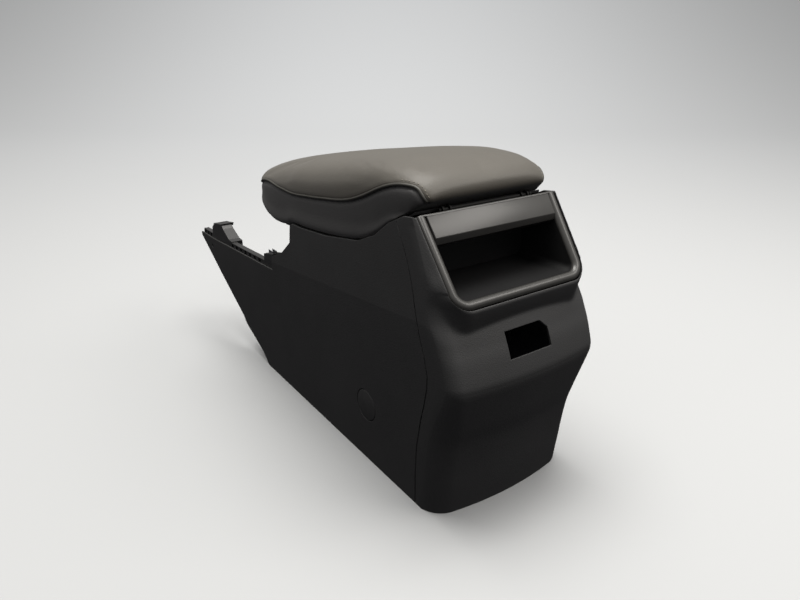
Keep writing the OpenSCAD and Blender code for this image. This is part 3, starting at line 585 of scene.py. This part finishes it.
def cushion_ring(y, count):
    w = 100 * along(WIDTH, y)
    top = along(TOP, y)
    low = along(UNDERSIDE, y) - float(np.interp(y, [54, 78, 92, 335, 345], [-1.0, -1.0, 0.9, 0.9, 0]))
    mid = low + (top - low) * along(WIDEST, y)
    ex, ez = along(ACROSS, y), along(UP, y)
    dense = []
    for i in range(720):
        a = 2 * math.pi * i / 720
        c, s = math.cos(a), math.sin(a)
        up = s >= 0
        dense.append((w * math.copysign(abs(c) ** (ex if up else 0.11), c),
                      mid + (top - mid if up else mid - low) * math.copysign(abs(s) ** (ez if up else 0.11), s)))
    dense = np.array(dense + dense[:1])
    run = np.r_[0, np.cumsum(np.linalg.norm(np.diff(dense, axis=0), axis=1))]
    at = np.linspace(0, run[-1], count, endpoint=False)
    return np.c_[np.interp(at, run, dense[:, 0]), np.interp(at, run, dense[:, 1])]


ROUND = 128
stations = [54, 55, 56.5, 58.5, 61, 64] + list(np.linspace(68, 436, 94)) + [440, 443.5, 446.5, 449, 450.8, 452]
verts, faces = [], []
for y in stations:
    for x, z in cushion_ring(y, ROUND):
        verts.append(place(x, y, z))
for k in range(len(stations) - 1):
    for i in range(ROUND):
        j = (i + 1) % ROUND
        faces.append((k * ROUND + i, k * ROUND + j, (k + 1) * ROUND + j, (k + 1) * ROUND + i))
faces.append(tuple(reversed(range(ROUND))))
faces.append(tuple((len(stations) - 1) * ROUND + i for i in range(ROUND)))
mesh = bpy.data.meshes.new("armrest_cushion")
mesh.from_pydata([tuple(v) for v in verts], [], faces)
mesh.update()
cushion = bpy.data.objects.new("armrest_cushion", mesh)
bpy.context.scene.collection.objects.link(cushion)
activate(cushion)
bpy.ops.object.mode_set(mode="EDIT")
bpy.ops.mesh.select_all(action="SELECT")
bpy.ops.mesh.normals_make_consistent(inside=False)
bpy.ops.object.mode_set(mode="OBJECT")
cushion.data.remesh_voxel_size = 0.0045
bpy.ops.object.voxel_remesh()
relax = cushion.modifiers.new("relax", "SMOOTH")
relax.factor = 0.5
relax.iterations = 3
apply_all(cushion)

# The sewn seam: up from the rear corner, over a hump and along the side to the nose
SEWN = [(57, 328), (59, 334), (62.5, 341.8), (68.5, 347.8), (76, 350), (88, 349.6), (98, 347.8), (108, 344.8),
        (120, 340), (136, 332.5), (151, 326), (176, 317.5), (198, 312.6), (221, 309), (270, 302), (326, 296.5),
        (360, 297), (390, 298.5), (406, 297.5), (425, 293.5), (438, 289.5), (447, 286), (452, 284)]


def skin_of(obj):
    return BVHTree.FromObject(obj, bpy.context.evaluated_depsgraph_get())


def sewn_path(obj):
    """Points and outward directions of the seam on the cushion, from rear left round to rear right."""
    skin = skin_of(obj)
    side = []
    for y in list(np.linspace(59.3, 72, 26)) + list(np.linspace(73, 424, 250)):
        z = along(SEWN, y)
        hit = skin.ray_cast(place(-140, y, z), Vector((1, 0, 0)))
        if hit[0] is not None:
            side.append(hit[:2])
    for a in np.linspace(12, 90, 56):
        c, sn = math.cos(math.radians(a)), math.sin(math.radians(a))
        y = 424 + 29 * sn ** 0.9
        guide = place(-98 * c ** 0.62, y, along(SEWN, min(y, 452)))
        side.append(skin.find_nearest(guide)[:2])
    right = [(Vector((-q.x, q.y, q.z)), Vector((-n.x, n.y, n.z))) for q, n in reversed(side[:-1])]
    path = side + right
    spots = np.array([q for q, n in path])
    for _ in range(8):
        spots[1:-1] = (spots[:-2] + 2 * spots[1:-1] + spots[2:]) / 4
    return [(Vector(q), Vector(n).normalized()) for q, (_, n) in zip(spots, path)]


# A short inflation under cloth rules fills the cover between its seam and its lower edge
for v in cushion.data.vertices:
    v.co -= v.normal * 0.0014
flat_shape = np.array([v.co for v in cushion.data.vertices])
seam_tree = KDTree(len(sewn_path(cushion)))
for i, (q, n) in enumerate(sewn_path(cushion)):
    seam_tree.insert(q, i)
seam_tree.balance()
held = cushion.vertex_groups.new(name="held")
for v in cushion.data.vertices:
    y = (v.co.y + REAR_TO_MIDDLE) * 1000
    if seam_tree.find(v.co)[2] < 0.005 or v.co.z * 1000 < along(UNDERSIDE, y) + 9:
        held.add([v.index], 1.0, "REPLACE")
puff = cushion.modifiers.new("puff", "CLOTH")
puff.settings.quality = 5
puff.settings.mass = 0.3
puff.settings.tension_stiffness = 18
puff.settings.compression_stiffness = 18
puff.settings.shear_stiffness = 6
puff.settings.bending_stiffness = 2.5
puff.settings.use_pressure = True
puff.settings.uniform_pressure_force = 4
puff.settings.effector_weights.gravity = 0
puff.settings.vertex_group_mass = "held"
puff.collision_settings.use_collision = False
puff.point_cache.frame_start = 1
puff.point_cache.frame_end = 20
for f in range(1, 21):
    bpy.context.scene.frame_set(f)
apply_all(cushion)
bpy.context.scene.frame_set(1)
filled = np.array([v.co for v in cushion.data.vertices])
moved = filled - flat_shape
length = np.linalg.norm(moved, axis=1, keepdims=True)
behind_nose = np.clip((435 - (flat_shape[:, 1] + REAR_TO_MIDDLE) * 1000) / 25, 0.1, 1)
moved = moved * behind_nose[:, None] * 0.0026 / (0.0026 + length)
for v, rest, step in zip(cushion.data.vertices, flat_shape, moved):
    v.co = Vector(rest + step)
# The cover is stretched over the base's edge, so the lower edge is drawn out again to its tight fold
for v in cushion.data.vertices:
    y = (v.co.y + REAR_TO_MIDDLE) * 1000
    if not 60 < y < 446:
        continue
    top = along(TOP, y)
    low = along(UNDERSIDE, y) - float(np.interp(y, [54, 78, 92, 335, 345], [-1.0, -1.0, 0.9, 0.9, 0]))
    mid = low + (top - low) * along(WIDEST, y)
    across, down = abs(v.co.x) / (0.1 * along(WIDTH, y)), (mid - v.co.z * 1000) / (mid - low)
    if down > 0.5 and across > 0.6:
        level = (across ** 18 + down ** 18) ** (1 / 18)
        pull = (1 / level - 1) * min(1.0, (down - 0.5) / 0.3) * min(1.0, (across - 0.6) / 0.2)
        if abs(pull) < 0.12:
            v.co.x *= 1 + pull
            v.co.z = (mid - (mid - low) * down * (1 + pull)) / 1000
finer = cushion.modifiers.new("finer", "SUBSURF")
finer.levels = 1
apply_all(cushion)

# Beside the seam the side band sinks into a groove, and the band is marked for its own colour; a near-black painted
# shade is also marked along the groove
path = sewn_path(cushion)
seam_tree = KDTree(len(path))
for i, (q, n) in enumerate(path):
    seam_tree.insert(q, i)
seam_tree.balance()
band_mark = cushion.data.attributes.new("side_band", "FLOAT", "POINT")
# seam_shade marks a painted shade: a near-black line along the seam's groove
groove_mark = cushion.data.attributes.new("seam_shade", "FLOAT", "POINT")
shift = []
for v in cushion.data.vertices:
    q, i, d = seam_tree.find(v.co)
    d *= 1000
    y = (v.co.y + REAR_TO_MIDDLE) * 1000
    below = y > 56.5 and (v.co.z * 1000 < along(SEWN, min(y, 452)) if d > 6 else (v.co - q).dot(
        Vector((0, 1, -1)) if y < 74 else Vector((0, 0, -1))) > 0)
    signed = -d if below else d
    nose = 1 - 0.85 * min(1.0, max(0.0, (y - 426) / 16))
    band_mark.data[v.index].value = min(1.0, max(0.0, 0.5 - signed / 1.6))
    groove_mark.data[v.index].value = nose * math.exp(-((signed + 1.4) / 1.3) ** 2)
    depth = nose * 1.9 * math.exp(-((signed + 1.8) / 2.2) ** 2) - 0.3 * math.exp(-((signed - 4.5) / 4) ** 2)
    shift.append(v.normal * (-depth / 1000))
for v, step in zip(cushion.data.vertices, shift):
    v.co += step
activate(cushion)
bpy.ops.object.shade_smooth()
LEATHER = (0.070, 0.063, 0.051)
SIDE_BAND = (0.036, 0.035, 0.036)
leatherette, tree, shader, coords = new_material("warm_leatherette", LEATHER, 0.52)
mottle(tree, shader, coords, LEATHER, 0.07, 8, 0.52, 0.04)
grain(tree, shader, coords, 620, 0.22, 0.0004, 0)
shader.inputs["Sheen Weight"].default_value = 0.12
top_colour = shader.inputs["Base Color"].links[0].from_node
marks = []
for name in ("side_band", "seam_shade"):
    mark = tree.nodes.new("ShaderNodeAttribute")
    mark.attribute_name = name
    marks.append(mark)
# side_band takes the band's own darker colour; seam_shade paints near-black shade into the groove
for mark, colour in zip(marks, (SIDE_BAND, (0.004, 0.004, 0.004))):
    mix = tree.nodes.new("ShaderNodeMix")
    mix.data_type = "RGBA"
    tree.links.new(mark.outputs["Fac"], mix.inputs["Factor"])
    tree.links.new(top_colour.outputs["Color" if "Color" in top_colour.outputs else 2], mix.inputs[6])
    mix.inputs[7].default_value = (*colour, 1)
    top_colour = mix
tree.links.new(top_colour.outputs[2], shader.inputs["Base Color"])
cushion.data.materials.append(leatherette)
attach(cushion, "armrest")
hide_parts("armrest_cover", "armrest_foam")

# Armrest welt
# The rolled edge of the top panel along the sewn seam, a thin cord under the
# same leatherette.
WELT = 0.0018
cord_data = bpy.data.curves.new("armrest_welt", "CURVE")
cord_data.dimensions = "3D"
cord_data.bevel_depth = WELT
cord_data.bevel_resolution = 2
cord_data.use_fill_caps = True
line = cord_data.splines.new("POLY")
line.points.add(len(path) - 1)
for spot, (q, n) in zip(line.points, path):
    spot.co = (*(q - n * 0.0006 + Vector((0, 0, 0.0006))), 1)
    spot.radius = 1 - 0.45 * min(1.0, max(0.0, ((q.y + REAR_TO_MIDDLE) * 1000 - 426) / 16))
cord = bpy.data.objects.new("armrest_welt", cord_data)
bpy.context.scene.collection.objects.link(cord)
activate(cord)
bpy.ops.object.convert(target="MESH")
welt = named("armrest_welt")
bpy.ops.object.shade_smooth()
welt_leather, tree, shader, coords = new_material("welt_leatherette", (0.046, 0.044, 0.038), 0.46)
mottle(tree, shader, coords, (0.046, 0.044, 0.038), 0.1, 40, 0.46, 0.04)
grain(tree, shader, coords, 900, 0.15, 0.0003, 0)
welt.data.materials.append(welt_leather)
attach(welt, "armrest")

# Armrest stitches
# Pale thread in the top panel beside the welt, where it comes down over the
# armrest's rear corners.
skin = skin_of(cushion)
spots = []
for k in range(2, len(path) - 2):
    q, n = path[k]
    y = (q.y + REAR_TO_MIDDLE) * 1000
    if y > 90:
        continue
    if spots and (q - spots[-1][3]).length < 0.0036:
        continue
    run = (path[k + 1][0] - path[k - 1][0]).normalized()
    aside = n.cross(run).normalized()
    if aside.z < 0 or (aside.y > 0 and abs(aside.y) > abs(aside.z)):
        aside = -aside
    at, face_n = skin.find_nearest(q + aside * 0.0050)[:2]
    spots.append((at, face_n, run, q))
bpy.ops.object.select_all(action="DESELECT")
bpy.ops.mesh.primitive_uv_sphere_add(segments=8, ring_count=6, radius=0.0001, location=path[0][0])
stitches = named("armrest_stitches")
bpy.ops.object.transform_apply(location=True, rotation=True, scale=True)
bpy.ops.object.mode_set(mode="EDIT")
for at, face_n, run, q in spots:
    turn = run.to_track_quat("Y", "Z").to_euler()
    bpy.ops.mesh.primitive_uv_sphere_add(segments=8, ring_count=6, radius=1, location=at + face_n * 0.0001,
                                         rotation=turn, scale=(0.00045, 0.0012, 0.00045))
bpy.ops.object.mode_set(mode="OBJECT")
bpy.ops.object.shade_smooth()
thread, tree, shader, coords = new_material("pale_thread", (0.24, 0.22, 0.185), 0.7, 0.3)
mottle(tree, shader, coords, (0.24, 0.22, 0.185), 0.1, 300, 0.7, 0.05)
stitches.data.materials.append(thread)
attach(stitches, "armrest")

# Floor, light and camera
# A plain pale floor with soft light from above, and the camera at the height
# and side from which the console is seen.
bpy.ops.object.select_all(action="DESELECT")
bpy.ops.mesh.primitive_plane_add(size=1)
floor = named("studio_floor")
bpy.ops.object.mode_set(mode="EDIT")
bm = bmesh.from_edit_mesh(floor.data)
for v in bm.verts:
    v.co = Vector((v.co.x * 16, 5 if v.co.y > 0 else -6, 0))
for e in bm.edges:
    e.select = all(v.co.y > 0 for v in e.verts)
bmesh.update_edit_mesh(floor.data)
bpy.ops.mesh.select_mode(type="EDGE")
bpy.ops.mesh.extrude_region_move(TRANSFORM_OT_translate={"value": (0, 0, 6)})
bm = bmesh.from_edit_mesh(floor.data)
for e in bm.edges:
    e.select = all(v.co.y > 4.9 and v.co.z < 0.1 for v in e.verts)
bmesh.update_edit_mesh(floor.data)
bpy.ops.mesh.bevel(offset=2.6, segments=24, affect="EDGES")
bpy.ops.object.mode_set(mode="OBJECT")
settle(floor, Matrix.Rotation(math.radians(-35), 4, "Z"))
bpy.ops.object.shade_smooth()
pale, tree, shader, coords = new_material("pale_floor", (0.47, 0.48, 0.49), 0.8, 0.2)
floor.data.materials.append(pale)
floor.visible_diffuse = False
floor.visible_glossy = False
world = bpy.data.worlds.new("studio")
bpy.context.scene.world = world
world.use_nodes = True
sky = world.node_tree
way = sky.nodes.new("ShaderNodeTexCoord")
height = sky.nodes.new("ShaderNodeSeparateXYZ")
overhead = sky.nodes.new("ShaderNodeValToRGB")
overhead.color_ramp.elements[0].position = 0.37
overhead.color_ramp.elements[0].color = (0.035, 0.035, 0.04, 1)
overhead.color_ramp.elements[1].position = 0.95
overhead.color_ramp.elements[1].color = (1, 0.98, 0.95, 1)
lift = sky.nodes.new("ShaderNodeMapRange")
lift.inputs["From Min"].default_value = -1
sky.links.new(way.outputs["Generated"], height.inputs["Vector"])
sky.links.new(height.outputs["Z"], lift.inputs["Value"])
sky.links.new(lift.outputs["Result"], overhead.inputs["Fac"])
sky.links.new(overhead.outputs["Color"], sky.nodes["Background"].inputs["Color"])
sky.nodes["Background"].inputs["Strength"].default_value = 0.8


def soft_lamp(name, at, toward, size, watts, colour=(1, 1, 1)):
    data = bpy.data.lights.new(name, "AREA")
    data.shape = "RECTANGLE"
    data.size, data.size_y = size
    data.energy = watts
    data.color = colour
    lamp = bpy.data.objects.new(name, data)
    bpy.context.scene.collection.objects.link(lamp)
    lamp.location = at
    lamp.rotation_euler = (Vector(toward) - Vector(at)).to_track_quat("-Z", "Y").to_euler()


soft_lamp("ceiling", (0.1, 0.1, 2.3), (0, 0, 0.2), (1.8, 1.2), 66, (1, 0.975, 0.93))
soft_lamp("high_rear", (0.95, -1.2, 1.65), (0, -0.28, 0.3), (1.2, 0.7), 14, (1, 0.96, 0.91))
soft_lamp("backdrop", (1.2, 1.8, 2.6), (2.6, 3.8, 0.6), (2.0, 1.0), 60)
camera_data = bpy.data.cameras.new("camera")
camera = bpy.data.objects.new("camera", camera_data)
bpy.context.scene.collection.objects.link(camera)
camera.location = (-0.4427, -0.74415, 0.4882)
camera.rotation_euler = (math.radians(90 - 22.97), math.radians(-0.17), math.radians(-35))
camera_data.lens = 28.64
camera_data.sensor_width = 36
bpy.context.scene.camera = camera
bpy.context.scene.view_settings.view_transform = "Standard"
